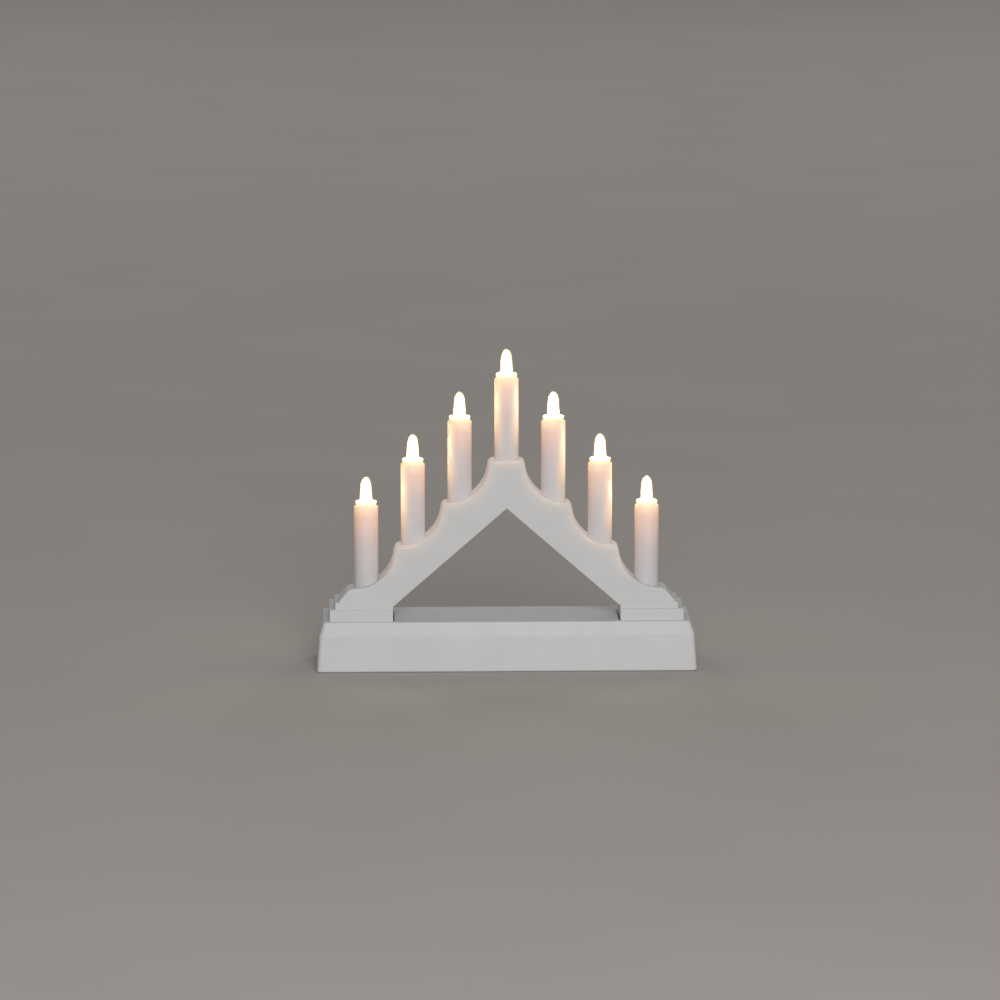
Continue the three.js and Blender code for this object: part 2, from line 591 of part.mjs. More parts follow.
function archShell() {
  const outer = archForm(0, archFront, archBack, Math.min(EDGE_ROUND, SEAT_MARGIN));
  let shell = outer.subtract(archForm(ARCH_WALL, archFront + ARCH_WALL, archBack + 1));
  const inFront = box(-baseHalfX, baseHalfX, archFront, candleY + CRADLE_BACK, footZ, seatZ(0));
  const topFloor = seatZ(0) - SOCKET_DEPTH - SOCKET_FLOOR;
  let bosses = box(-seatReach, seatReach, archFront, candleY, topFloor, seatZ(0));
  for (const k of candleSteps) {
    const floor = Math.max(seatZ(k) - SOCKET_DEPTH - SOCKET_FLOOR, footZ);
    bosses = bosses.add(rod(k * CANDLE_PITCH, candleY, boreRadius + SOCKET_WALL, floor,
      seatZ(k) + CANDLE_RISE / 2, TUBE_SIDES));
  }
  const screwTop = footZ + FOOT_SCREW_GRIP + SOCKET_FLOOR;
  for (const side of [-1, 1]) {
    bosses = bosses.add(rod(side * footScrewX, footScrewY, SCREW_BOSS, footZ, screwTop));
    bosses = bosses.add(box(side * footScrewX, side * outerCandle, archFront, footScrewY, footZ, screwTop));
  }
  shell = shell.add(bosses.intersect(outer).intersect(inFront));
  for (const { x, z } of coverScrews) {
    shell = shell.add(rodY(x, z, SCREW_BOSS, archFront + ARCH_WALL / 2, coverY - SEAT));
    shell = shell.subtract(rodY(x, z, holeRadius, coverY - COVER_SCREW_GRIP - FIT, coverY));
  }
  for (const k of candleSteps) {
    const x = k * CANDLE_PITCH;
    const floor = seatZ(k) - SOCKET_DEPTH;
    shell = shell.subtract(rod(x, candleY, boreRadius, floor, seatZ(k) + CANDLE_RISE, TUBE_SIDES));
    shell = shell.subtract(rod(x, candleY, WIRE_HOLE, floor - FOOT_FLOOR - 1, floor + 1));
  }
  for (const side of [-1, 1]) {
    const screwEnd = footZ + FOOT_SCREW_GRIP + FIT;
    shell = shell.subtract(rod(side * footScrewX, footScrewY, holeRadius, footZ - 1, screwEnd));
    shell = shell.subtract(rod(side * harnessX, harnessY, WIRE_HOLE, footZ - 1, footZ + ARCH_WALL + 1));
  }
  return shell;
}

function archBackCover() {
  let cover = archForm(ARCH_WALL + FIT, coverY, archBack);
  for (const { x, z } of coverScrews) {
    cover = cover.subtract(rodY(x, z, holeRadius, coverY - 1, archBack + 1));
  }
  return cover;
}

// Candles. Each is built with its seat at zero height.

const tubeInner = TUBE_DIAMETER / 2 - TUBE_WALL;
const spigotRadius = tubeInner - FIT;
const spigotBottom = TUBE_SHOWN - SPIGOT_LENGTH;

function candleTube() {
  const outer = TUBE_DIAMETER / 2;
  const bottom = -SOCKET_DEPTH + SEAT;
  const round = Math.min(TUBE_SHOULDER, TUBE_WALL);
  const shoulder = [];
  for (let i = 0; i <= ROUND_STEPS; i += 1) {
    const angle = i / ROUND_STEPS * Math.PI / 2;
    shoulder.push([outer - round * (1 - Math.cos(angle)), TUBE_SHOWN - round * (1 - Math.sin(angle))]);
  }
  const foot = [tubeInner, bottom];
  return turned([foot, [outer, bottom], ...shoulder, [tubeInner, TUBE_SHOWN], foot], TUBE_SIDES);
}

// The flame stands on a collar ring; a neck rests on the tube's rim and a spigot plugs into the tube.
function flameLens() {
  const rim = TUBE_SHOWN + SEAT;
  const collarBottom = rim + NECK_HEIGHT;
  const collarTop = collarBottom + COLLAR_THICKNESS;
  const neck = TUBE_DIAMETER / 2 - NECK_STEP;
  const collar = TUBE_DIAMETER / 2 - COLLAR_STEP;
  const bore = DIODE_DIAMETER / 2 + FIT;
  const boreTop = spigotBottom + DIODE_HEIGHT + FIT;
  const waist = FLAME_DIAMETER / 2;
  const flame = [[1, 0], [0.94, 0.2], [0.88, 0.45], [0.79, 0.68], [0.62, 0.85], [0.36, 0.96], [0, 1]];
  return turned([
    [0, boreTop],
    [bore, boreTop],
    [bore, spigotBottom],
    [spigotRadius, spigotBottom],
    [spigotRadius, rim],
    [neck, rim],
    [neck, collarBottom],
    [collar, collarBottom + 0.2 * COLLAR_THICKNESS],
    [collar, collarTop - 0.2 * COLLAR_THICKNESS],
    [collar - 0.3 * COLLAR_THICKNESS, collarTop],
    ...flame.map(([r, z]) => [r * waist, collarTop + z * FLAME_HEIGHT]),
  ], LENS_SIDES);
}

// A diode in the lens, with its flange under the spigot.
function diode() {
  const radius = DIODE_DIAMETER / 2;
  const top = spigotBottom - SEAT;
  const tip = top + DIODE_HEIGHT;
  return turned([
    [0, top - DIODE_FLANGE],
    [radius + DIODE_FLANGE_STEP, top - DIODE_FLANGE],
    [radius + DIODE_FLANGE_STEP, top],
    [radius, top],
    [radius, tip - radius],
    [0.7 * radius, tip - 0.3 * radius],
    [0, tip],
  ], SMALL_SIDES);
}

// A diode's twin lead runs down its tube to the harness.
// The outermost two bend in to it inside the foot blocks.
function diodeLead(k) {
  const top = spigotBottom - SEAT - DIODE_FLANGE - WIRE_GAP;
  if (Math.abs(k) < SIDE_CANDLES) {
    const clear = 2 * WIRE_RADIUS * (1 + archSlope) + WIRE_GAP;
    const low = undersideZ(k * CANDLE_PITCH) + HARNESS_RISE + clear - seatZ(k);
    const geometry = new THREE.ExtrudeGeometry(twinSection(), { depth: top - low, bevelEnabled: false });
    return geometry.translate(0, 0, low);
  }
  const inward = -Math.sign(k);
  const meetX = inward * (HARNESS_FROM_CANDLE - WIRE_HOLE - WIRE_GAP);
  const drop = blockBottom - seatZ(k);
  return wire(twinSection(), [
    [0, 0, top],
    [0, 0, top / 2],
    [0, 0, 0],
    [0, 0, drop + LOWER_SLAB + UPPER_SLAB],
    [meetX / 3, HARNESS_BEHIND_CANDLE / 3, drop + LOWER_SLAB * 0.7],
    [meetX, HARNESS_BEHIND_CANDLE, drop + LOWER_SLAB / 2],
  ], 14);
}

function candle(k) {
  const group = new THREE.Group();
  group.position.set(k * CANDLE_PITCH, candleY, seatZ(k));
  const number = k + SIDE_CANDLES + 1;
  addMesh(group, `candle_tube_${number}`, candleTube(), tubePlastic);
  addMesh(group, `flame_lens_${number}`, flameLens(), flamePlastic);
  addMesh(group, `diode_${number}`, diode(), epoxy);
  addMesh(group, `diode_lead_${number}`, diodeLead(k), whiteWire);
  return group;
}

// Electrics

// Where the twin leads end, just above the board
const twinEndX = boardX + BOARD_LENGTH / 2 - 3;
const twinEndZ = boardTop + 2 * WIRE_RADIUS + 2 * WIRE_GAP;

// From the board, up the right foot, along the arch under the candles and down into the left foot.
function archHarness() {
  const route = [
    [twinEndX, harnessY, twinEndZ],
    [harnessX - 2.5, harnessY, twinEndZ + 1],
    [harnessX, harnessY, (boardTop + baseTop) / 2],
    [harnessX, harnessY, slabTop],
    [harnessX, harnessY, footZ + ARCH_WALL],
  ];
  const inner = SIDE_CANDLES - 1;
  for (let k = inner; k >= -inner; k -= 1) {
    const x = k * CANDLE_PITCH;
    route.push([x, candleY, undersideZ(x) + HARNESS_RISE]);
  }
  route.push([-harnessX, harnessY, footZ + ARCH_WALL]);
  route.push([-harnessX, harnessY, slabTop]);
  route.push([-harnessX, harnessY, blockBottom + WIRE_GAP]);
  return wire(twinSection(), route, 60);
}

function cell(direction) {
  const radius = CELL_DIAMETER / 2;
  const nub = CELL_NUB_DIAMETER / 2;
  const body = CELL_LENGTH - CELL_NUB;
  const geometry = turned([
    [0, 0],
    [radius - 0.6, 0],
    [radius, 0.6],
    [radius, body - 0.6],
    [radius - 0.6, body],
    [nub, body],
    [nub, CELL_LENGTH],
    [0, CELL_LENGTH],
  ], TUBE_SIDES);
  geometry.translate(0, 0, -CELL_LENGTH / 2);
  geometry.rotateY(direction * Math.PI / 2);
  return geometry;
}

// A conical coil along X from a contact plate to a cell.
class ContactCoil extends THREE.Curve {
  getPoint(t, target = new THREE.Vector3()) {
    const angle = 2 * Math.PI * SPRING_TURNS * t;
    const radius = SPRING_WIDE + (SPRING_NARROW - SPRING_WIDE) * t;
    const start = SPRING_WIRE / 4;
    const reach = SPRING_LENGTH - SPRING_WIRE / 2 - start;
    return target.set(start + reach * t, radius * Math.cos(angle), radius * Math.sin(angle));
  }
}

// The least distance between a coil's turns, surface to surface.
function coilGap(coil) {
  const points = coil.getPoints(SPRING_TURNS * 4 * SPRING_STEPS);
  const halfTurn = 2 * SPRING_STEPS;
  let least = Infinity;
  points.forEach((p, i) => {
    points.slice(i + halfTurn).forEach((q) => {
      least = Math.min(least, p.distanceTo(q));
    });
  });
  return least - SPRING_WIRE;
}

function contactSpring(x, y, direction) {
  const coil = new ContactCoil();
  const geometry = new THREE.ExtrudeGeometry(roundSection(SPRING_WIRE / 2, 5), {
    steps: SPRING_TURNS * SPRING_STEPS,
    extrudePath: coil,
    bevelEnabled: false,
  });
  if (direction < 0) geometry.rotateZ(Math.PI);
  geometry.translate(x, y, cellZ);
  return solid(geometry);
}

function contactPlate(x, y, halfWidth, side) {
  const half = CONTACT_WIDTH / 2;
  return box(x, x + side * CONTACT_THICKNESS, y - halfWidth, y + halfWidth, cellZ - half, cellZ + half);
}

function endContact(side) {
  const x = BOX_X + contactFace;
  const y = side * cellY;
  const tab = box(x, x + CONTACT_THICKNESS, y - CONTACT_TAB / 2, y + CONTACT_TAB / 2,
    cellZ, boxTop + CONTACT_TAB_RISE);
  return contactPlate(x, y, CONTACT_WIDTH / 2, 1).add(tab);
}

function bridgeContact() {
  const x = BOX_X - contactFace;
  return contactPlate(x, 0, cellY + CONTACT_WIDTH / 2, -1).add(contactSpring(x, cellY, 1));
}

function switchBody() {
  const back = switchFace - SWITCH_BODY_DEPTH;
  const body = box(switchX - switchHalfX, switchX + switchHalfX, back, switchFace,
    SWITCH_Z - switchHalfZ, SWITCH_Z + switchHalfZ);
  const track = box(switchX - switchTrackHalfX, switchX + switchTrackHalfX, switchTrackY, switchFace + 1,
    SWITCH_Z - switchTrackHalfZ, SWITCH_Z + switchTrackHalfZ);
  return body.subtract(track);
}

// At rest the knob is at the on end of its slot, towards the right.
function switchKnob() {
  const x = switchX + SWITCH_TRAVEL / 2;
  const halfX = KNOB_WIDTH / 2;
  const halfZ = KNOB_HEIGHT / 2;
  const foot = switchTrackY + FIT;
  const grip = box(x - halfX, x + halfX, foot, pocketFloor + KNOB_PROUD, SWITCH_Z - halfZ, SWITCH_Z + halfZ);
  return grip.add(box(x - halfX - KNOB_FLANGE, x + halfX + KNOB_FLANGE, foot, foot + KNOB_FLANGE_THICKNESS,
    SWITCH_Z - halfZ - KNOB_FLANGE, SWITCH_Z + halfZ + KNOB_FLANGE));
}

function circuitBoard() {
  let board = box(boardX - BOARD_LENGTH / 2, boardX + BOARD_LENGTH / 2, -BOARD_WIDTH / 2, BOARD_WIDTH / 2,
    boardZ, boardTop);
  for (const { x, y } of standoffs) {
    board = board.subtract(rod(x, y, STANDOFF_PIN + FIT, boardZ - 1, boardTop + 1));
  }
  return board;
}

function resistor() {
  const { bodyRadius, bodyLength, leadRadius, length } = RESISTOR;
  const geometry = turned([
    [0, -length / 2],
    [leadRadius, -length / 2],
    [leadRadius, -bodyLength / 2],
    [bodyRadius, -bodyLength / 2 + 0.4],
    [bodyRadius, bodyLength / 2 - 0.4],
    [leadRadius, bodyLength / 2],
    [leadRadius, length / 2],
    [0, length / 2],
  ], SMALL_SIDES);
  geometry.rotateY(Math.PI / 2);
  return geometry.translate(boardX, BOARD_WIDTH / 4, boardTop + SEAT + bodyRadius);
}

function timerChip() {
  const y = -BOARD_WIDTH / 6;
  return box(boardX - CHIP.length / 2, boardX + CHIP.length / 2, y - CHIP.width / 2, y + CHIP.width / 2,
    boardTop + SEAT, boardTop + SEAT + CHIP.height);
}

// From a contact's tab over the end of the battery box to the board.
function batteryWire(side) {
  const tabX = BOX_X + contactFace + CONTACT_THICKNESS;
  const tabZ = boxTop + CONTACT_TAB_RISE / 2;
  const boardEnd = boardX - BOARD_LENGTH / 2;
  return wire(roundSection(WIRE_RADIUS, 6), [
    [tabX + WIRE_GAP, side * cellY, tabZ],
    [tabX + BOX_WALL + 5, side * cellY, tabZ],
    [(tabX + boardEnd) / 2 + 3, side * cellY * 0.8, (tabZ + boardTop) / 2 + 3],
    [boardEnd - 2, side * cellY * 0.5, boardTop + 2],
    [boardEnd + 3, side * cellY * 0.4, boardTop + WIRE_RADIUS + WIRE_GAP],
  ], 16);
}

function switchLead() {
  const back = switchFace - SWITCH_BODY_DEPTH;
  return wire(twinSection(), [
    [switchX, back - WIRE_GAP, SWITCH_Z],
    [switchX - 1, back - 3.5, SWITCH_Z + 0.5],
    [switchX - 6, back - 7, twinEndZ + 1.5],
    [twinEndX, BOARD_WIDTH / 3 - 4, twinEndZ],
  ], 14);
}

// Assembly

const candlestick = new THREE.Group();

const base = new THREE.Group();
addMesh(base, 'base_housing', baseHousing(), whitePlastic);
addMesh(base, 'bottom_plate', bottomPlate(), whitePlastic);
addMesh(base, 'battery_door', batteryDoor(), whitePlastic);
addMesh(base, 'foot_block_left', footBlock(-1), whitePlastic);
addMesh(base, 'foot_block_right', footBlock(1), whitePlastic);
addMesh(base, 'switch_body', switchBody(), blackPlastic);
addMesh(base, 'switch_knob', switchKnob(), blackPlastic);
candlestick.add(base);

const arch = new THREE.Group();
addMesh(arch, 'arch_shell', archShell(), whitePlastic);
addMesh(arch, 'arch_back_cover', archBackCover(), whitePlastic);
candleSteps.forEach((k) => arch.add(candle(k)));
candlestick.add(arch);

const electrics = new THREE.Group();
addMesh(electrics, 'arch_harness', archHarness(), whiteWire);
addMesh(electrics, 'circuit_board', circuitBoard(), boardResin);
addMesh(electrics, 'resistor', resistor(), tanCeramic);
addMesh(electrics, 'timer_chip', timerChip(), blackPlastic);
addMesh(electrics, 'contact_positive', endContact(1), springSteel);
const negative = endContact(-1).add(contactSpring(BOX_X + contactFace, -cellY, -1));
addMesh(electrics, 'contact_negative', negative, springSteel);
addMesh(electrics, 'contact_bridge', bridgeContact(), springSteel);
addMesh(electrics, 'wire_positive', batteryWire(1), redWire);
addMesh(electrics, 'wire_negative', batteryWire(-1), blackWire);
addMesh(electrics, 'switch_lead', switchLead(), whiteWire);
[1, -1].forEach((direction, i) => {
  const mesh = addMesh(electrics, `battery_${i + 1}`, cell(direction), cellJacket);
  mesh.position.set(BOX_X + direction * SPRING_LENGTH / 2, direction * cellY, cellZ);
});
candlestick.add(electrics);

const screws = new THREE.Group();
plateScrews.forEach(({ x, y }, i) => {
  const shape = screw(PLATE_THICKNESS + PLATE_SCREW_GRIP - FIT);
  const mesh = addMesh(screws, `plate_screw_${i + 1}`, shape, screwSteel);
  mesh.position.set(x, y, PLATE_RECESS - SEAT);
});
[-1, 1].forEach((side, i) => {
  const shape = screw(footZ - ceilingZ + FOOT_SCREW_GRIP);
  const mesh = addMesh(screws, `foot_screw_${i + 1}`, shape, screwSteel);
  mesh.position.set(side * footScrewX, footScrewY, ceilingZ - SEAT);
});
coverScrews.forEach(({ x, z }, i) => {
  const shape = screw(COVER_THICKNESS + COVER_SCREW_GRIP - FIT);
  const mesh = addMesh(screws, `cover_screw_${i + 1}`, shape, screwSteel);
  mesh.position.set(x, archBack + SEAT, z);
  mesh.rotation.x = Math.PI / 2;
});
candlestick.add(screws);

console.log(`least gap between spring turns: ${coilGap(new ContactCoil()).toFixed(2)} mm`);

export default candlestick;
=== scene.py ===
"""Looks of the seven-light candle arch: camera, dressed pieces, materials, floor and light."""
import json
import math

import bmesh
import bpy
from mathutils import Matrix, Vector
from mathutils.kdtree import KDTree


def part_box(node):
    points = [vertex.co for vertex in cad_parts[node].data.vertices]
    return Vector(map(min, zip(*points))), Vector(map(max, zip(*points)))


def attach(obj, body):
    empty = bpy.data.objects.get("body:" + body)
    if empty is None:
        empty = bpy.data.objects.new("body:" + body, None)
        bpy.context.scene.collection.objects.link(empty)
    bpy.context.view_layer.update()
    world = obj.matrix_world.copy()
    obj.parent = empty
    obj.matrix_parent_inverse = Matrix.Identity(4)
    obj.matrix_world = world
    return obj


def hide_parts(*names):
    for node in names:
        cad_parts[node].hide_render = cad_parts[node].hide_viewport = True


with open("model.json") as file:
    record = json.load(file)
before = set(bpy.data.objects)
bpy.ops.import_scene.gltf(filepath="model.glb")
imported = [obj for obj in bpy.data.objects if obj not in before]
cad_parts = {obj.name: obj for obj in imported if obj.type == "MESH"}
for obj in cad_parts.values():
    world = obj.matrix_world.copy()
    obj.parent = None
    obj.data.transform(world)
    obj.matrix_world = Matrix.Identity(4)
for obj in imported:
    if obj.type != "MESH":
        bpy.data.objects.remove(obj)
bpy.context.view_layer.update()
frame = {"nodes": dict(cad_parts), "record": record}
nodes = frame["nodes"]
slot_of = {s["node"]: s["material_slot"] for s in frame["record"]["subparts"]}

ROOT = "candlestick"
MM = 0.001
CANDLES, MIDDLE_CANDLE = 7, 4
# Screws in the back cover, and as many in the bottom plate
SCREWS = 4
# Points closer together than this count as one place, and double points closer than this are joined
SAME, WELD = 2e-5, 2e-6
# A radius smaller than this lies on the axis
ON_AXIS = 1e-7
# A face looks up, or to the front, from these values of its normal's Z and Y on
LOOKS_UP, LOOKS_FRONT = 0.05, -0.999
# Faces that meet at less than this are one flat face
FLAT = math.radians(0.4)

# Camera, fitted to the photo. The picture's width, the focal length and the aim's place are in pixels.
PICTURE, FOCAL, SENSOR = 1000, 6657, 36
CAMERA_AIM, CAMERA_DISTANCE = Vector((0, -25.3, 0.6)) * MM, 3.5
CAMERA_ABOVE, CAMERA_LEFT = math.radians(11.3), math.radians(1.7)
AIM_BELOW, AIM_RIGHT = 170.9, 7.4

# Lens: the sleeve in the tube, the neck and the collar on top of each other, and the flame above them
LENS_HEIGHT = 20.1 * MM
SLEEVE, NECK, COLLAR = 5.1 * MM, 0.8 * MM, 1.5 * MM
COLLAR_SHARE = (SLEEVE + NECK + COLLAR) / LENS_HEIGHT
LIGHT_STRENGTH = 34.0

# Where light is painted on the arch: from this height above its feet, growing over this rise
PAINTED_LIGHT_FOOT, PAINTED_LIGHT_RISE = 8.7 * MM, 14 * MM
# The rise and half width of the arch's straight underside
UNDERSIDE_RISE, UNDERSIDE_HALF = 49.9 * MM, 57.4 * MM

# Angles in degrees above which an edge stays a hard line
BOX_CREASE, ARCH_CREASE, TURNED_CREASE, KNOB_CREASE = 32, 36, 40, 34
# Angles in degrees above which an edge can be rounded, on the arch and its feet and on plainer pieces
FORM_EDGE, PLAIN_EDGE = 40, 50
# Sides of the turned pieces
TUBE_SIDES, LENS_SIDES, SCREW_SIDES = 56, 48, 32
# How far a piece is let down on the piece below it, from which the CAD keeps it 0.1 mm away
SEAM = 0.09 * MM
# Blender's name for a face's say in the weighted normals, and its highest value
FACE_STRENGTH, STRONG = "__mod_weightednormals_faceweight", 16384

# Colour sockets of the Mix node, which share their names with other sockets
MIX_A, MIX_B, MIX_RESULT = 6, 7, 2
BLACK = (0.0, 0.0, 0.0)


def make_camera():
    """A long lens from the front, a little above and to the left."""
    level = math.cos(CAMERA_ABOVE)
    view = Vector((math.sin(CAMERA_LEFT) * level, math.cos(CAMERA_LEFT) * level, -math.sin(CAMERA_ABOVE)))
    pitch = CAMERA_ABOVE - math.atan(AIM_BELOW / FOCAL)
    yaw = CAMERA_LEFT - math.atan(AIM_RIGHT / FOCAL)
    data = bpy.data.cameras.new("camera")
    data.sensor_width = SENSOR
    data.lens = SENSOR * FOCAL / PICTURE
    data.clip_end = 50
    camera = bpy.data.objects.new("camera", data)
    camera.location = CAMERA_AIM - view * CAMERA_DISTANCE
    camera.rotation_euler = (math.pi / 2 - pitch, 0, -yaw)
    bpy.context.scene.collection.objects.link(camera)
    bpy.context.scene.camera = camera


# Materials
class Nodes:
    """A material's node tree with short calls to add and join nodes."""

    def __init__(self, name):
        self.material = bpy.data.materials.new(name)
        self.material.use_nodes = True
        self.tree = self.material.node_tree
        self.shader = self.tree.nodes["Principled BSDF"]

    def set(self, socket, value):
        self.shader.inputs[socket].default_value = value

    def add(self, kind, **values):
        node = self.tree.nodes.new(kind)
        for key, value in values.items():
            if hasattr(node, key):
                setattr(node, key, value)
            else:
                node.inputs[key].default_value = value
        return node

    def join(self, source, output, target, socket):
        self.tree.links.new(source.outputs[output], target.inputs[socket])

    def noise(self, scale, detail=3.0):
        node = self.add("ShaderNodeTexNoise", Scale=scale, Detail=detail, Roughness=0.5)
        self.join(self.add("ShaderNodeTexCoord"), "Object", node, "Vector")
        return node

    def height(self):
        """A node whose Z runs from 0 at the piece's foot to 1 at its top."""
        node = self.add("ShaderNodeSeparateXYZ")
        self.join(self.add("ShaderNodeTexCoord"), "Generated", node, "Vector")
        return node

    def ramp(self, source, output, stops):
        node = self.add("ShaderNodeValToRGB")
        band = node.color_ramp
        while len(band.elements) < len(stops):
            band.elements.new(0.5)
        for element, (position, colour) in zip(band.elements, stops):
            element.position = position
            element.color = (*colour, 1)
        self.join(source, output, node, "Fac")
        return node

    def painted(self, name, colour):
        """A colour as strong as a value that the mesh carries."""
        value = self.add("ShaderNodeAttribute", attribute_name=name)
        return self.ramp(value, "Fac", [(0.0, BLACK), (1.0, colour)])

    def roughness(self, low, high, scale):
        node = self.add("ShaderNodeMapRange")
        node.inputs["To Min"].default_value = low
        node.inputs["To Max"].default_value = high
        self.join(self.noise(scale), "Fac", node, "Value")
        self.join(node, "Result", self.shader, "Roughness")

    def blend(self, kind, first, second, socket):
        """Blends two colour outputs into a socket of the shader."""
        node = self.add("ShaderNodeMix", data_type="RGBA", blend_type=kind, Factor=1.0)
        self.tree.links.new(first, node.inputs[MIX_A])
        self.tree.links.new(second, node.inputs[MIX_B])
        self.tree.links.new(node.outputs[MIX_RESULT], self.shader.inputs[socket])

    def tint(self, colour):
        """Multiplies the base colour that is there by another colour."""
        base = self.shader.inputs["Base Color"].links[0].from_socket
        self.blend("MULTIPLY", base, colour.outputs["Color"], "Base Color")

    def paint_glow(self, first, second):
        """Paints light on the surface: it gives off the sum of two colours."""
        self.blend("ADD", first.outputs["Color"], second.outputs["Color"], "Emission Color")
        self.set("Emission Strength", 1.0)

    def bump(self, layers):
        """Bump from (noise scale, height in metres) layers, finest last."""
        previous = None
        for scale, height in layers:
            node = self.add("ShaderNodeBump", Strength=1.0, Distance=height)
            self.join(self.noise(scale, detail=2.0), "Fac", node, "Height")
            if previous:
                self.join(previous, "Normal", node, "Normal")
            previous = node
        self.join(previous, "Normal", self.shader, "Normal")


def mottled(name, dark, light, rough, scale=60, metallic=0.0, bumps=((900, 2e-6), (5200, 3e-6))):
    """A moulded or plated surface: slight colour drift, uneven gloss and a fine grain."""
    n = Nodes(name)
    drift = n.ramp(n.noise(scale, detail=4.0), "Fac", [(0.3, dark), (0.7, light)])
    n.join(drift, "Color", n.shader, "Base Color")
    n.roughness(*rough, scale * 4)
    n.bump(bumps)
    n.set("Metallic", metallic)
    return n


def white_material():
    """Satin white plastic. Near the candles it gives off painted flame light, as strong as the mesh's values
    say.
    """
    n = mottled("white_plastic", (0.645, 0.647, 0.648), (0.675, 0.677, 0.678), (0.50, 0.60))
    n.set("Specular IOR Level", 0.4)
    # Painted light: flame light on the arch's upper faces, and a warm band along the front's upper border,
    # given off by the surface itself
    n.paint_glow(n.painted("lit", (0.20, 0.145, 0.11)), n.painted("warm", (0.125, 0.052, 0.006)))
    return n.material


def tube_material():
    """Milky plastic with painted light: a glow from its flame, strongest at the top and fading downwards."""
    n = mottled("candle_plastic", (0.70, 0.68, 0.695), (0.73, 0.71, 0.725), (0.36, 0.46), 90)
    # Painted light: glow given off more strongly towards the top of the tube
    glow = n.ramp(n.height(), "Z", [
        (0.0, BLACK),
        (0.30, (0.014, 0.004, 0.0)),
        (0.60, (0.08, 0.023, 0.002)),
        (0.88, (0.31, 0.115, 0.011)),
        (1.0, (0.54, 0.27, 0.06)),
    ])
    # Painted light: the glow down the tube, plus painted light from the next flames on its sides
    n.paint_glow(glow, n.painted("lit", (0.34, 0.18, 0.02)))
    n.set("Subsurface Weight", 0.7)
    n.set("Subsurface Radius", (1.0, 0.8, 0.65))
    n.set("Subsurface Scale", 3 * MM)
    return n.material


def flame_material():
    """The frosted skin of a lens: milky and warm, thin over the flame and denser in the collar."""
    n = mottled("flame_plastic", (0.9, 0.9, 0.9), (1.0, 1.0, 1.0), (0.25, 0.35), 120)
    height = n.height()
    glow = n.ramp(height, "Z", [
        (0.0, (0.05, 0.03, 0.01)),
        (0.27, (0.25, 0.17, 0.075)),
        (COLLAR_SHARE - 0.04, (0.50, 0.42, 0.28)),
        (COLLAR_SHARE + 0.02, (0.78, 0.64, 0.38)),
        (1.0, (0.86, 0.66, 0.34)),
    ])
    n.join(glow, "Color", n.shader, "Emission Color")
    n.set("Emission Strength", 2.0)
    n.tint(n.ramp(height, "Z", [
        (COLLAR_SHARE - 0.03, (0.75, 0.70, 0.60)),
        (COLLAR_SHARE + 0.02, (0.17, 0.14, 0.09)),
    ]))
    cover = n.ramp(height, "Z", [
        (0.0, (0.95, 0.95, 0.95)),
        (COLLAR_SHARE - 0.03, (0.95, 0.95, 0.95)),
        (COLLAR_SHARE + 0.03, (0.35, 0.35, 0.35)),
        (1.0, (0.25, 0.25, 0.25)),
    ])
    n.join(cover, "Color", n.shader, "Alpha")
    return n.material


def light_material():
    """The lit inside of a lens, whitest over the diode."""
    n = mottled("flame_light", (0.95, 0.9, 0.8), (1.0, 0.95, 0.86), (0.4, 0.5), 300)
    glow = n.ramp(n.height(), "Z", [(0.4, (1.0, 0.86, 0.58)), (1.0, (1.0, 0.80, 0.48))])
    n.join(glow, "Color", n.shader, "Emission Color")
    n.set("Emission Strength", LIGHT_STRENGTH)
    return n.material


# Plain materials: darkest and lightest colour, least and most roughness, then the drift's scale and metallic
PLAIN_MATERIALS = {
    "diode_epoxy": ((0.86, 0.8, 0.62), (0.92, 0.87, 0.7), (0.08, 0.15)),
    "black_plastic": ((0.036, 0.036, 0.038), (0.05, 0.05, 0.053), (0.38, 0.5)),
    "white_wire": ((0.62, 0.60, 0.57), (0.7, 0.68, 0.65), (0.45, 0.6)),
    "red_wire": ((0.38, 0.02, 0.018), (0.46, 0.03, 0.026), (0.4, 0.55)),
    "black_wire": ((0.014, 0.014, 0.016), (0.024, 0.024, 0.027), (0.4, 0.55)),
    "board_resin": ((0.012, 0.11, 0.04), (0.02, 0.16, 0.06), (0.3, 0.45), 300),
    "tan_resistor": ((0.52, 0.36, 0.19), (0.62, 0.44, 0.25), (0.4, 0.55), 200),
    "cell_jacket": ((0.04, 0.06, 0.1), (0.055, 0.08, 0.125), (0.22, 0.32), 60, 0.3),
    "spring_steel": ((0.5, 0.5, 0.51), (0.62, 0.62, 0.63), (0.22, 0.36), 200, 1.0),
    "screw_steel": ((0.42, 0.43, 0.44), (0.54, 0.55, 0.56), (0.28, 0.42), 240, 1.0),
}
materials = {
    "white_plastic": white_material(),
    "candle_plastic": tube_material(),
    "flame_plastic": flame_material(),
    **{name: mottled(name, *values).material for name, values in PLAIN_MATERIALS.items()},
}
flame_light = light_material()


# Tools for pieces
def finish_piece(obj, node, body=ROOT, inside=None):
    """Puts a new piece in the place of a CAD node, with that node's material and one for its inside."""
    indices = [face.material_index for face in obj.data.polygons]
    obj.data.materials.clear()
    obj.data.materials.append(materials[slot_of[node]])
    if inside:
        obj.data.materials.append(inside)
        obj.data.polygons.foreach_set("material_index", indices)
    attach(obj, body)
    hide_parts(node)


def object_from(bm, name):
    mesh = bpy.data.meshes.new(name)
    bm.to_mesh(mesh)
    bm.free()
    obj = bpy.data.objects.new(name, mesh)
    bpy.context.scene.collection.objects.link(obj)
    return obj


def shade(bm, angle, crisp=None):
    """Smooth faces, with hard lines where faces meet at more than the angle or where crisp says so."""
    bm.normal_update()
    for face in bm.faces:
        face.smooth = True
    for edge in bm.edges:
        hard = len(edge.link_faces) != 2 or edge.calc_face_angle(0) > math.radians(angle)
        edge.smooth = not (hard or (crisp is not None and crisp(edge)))


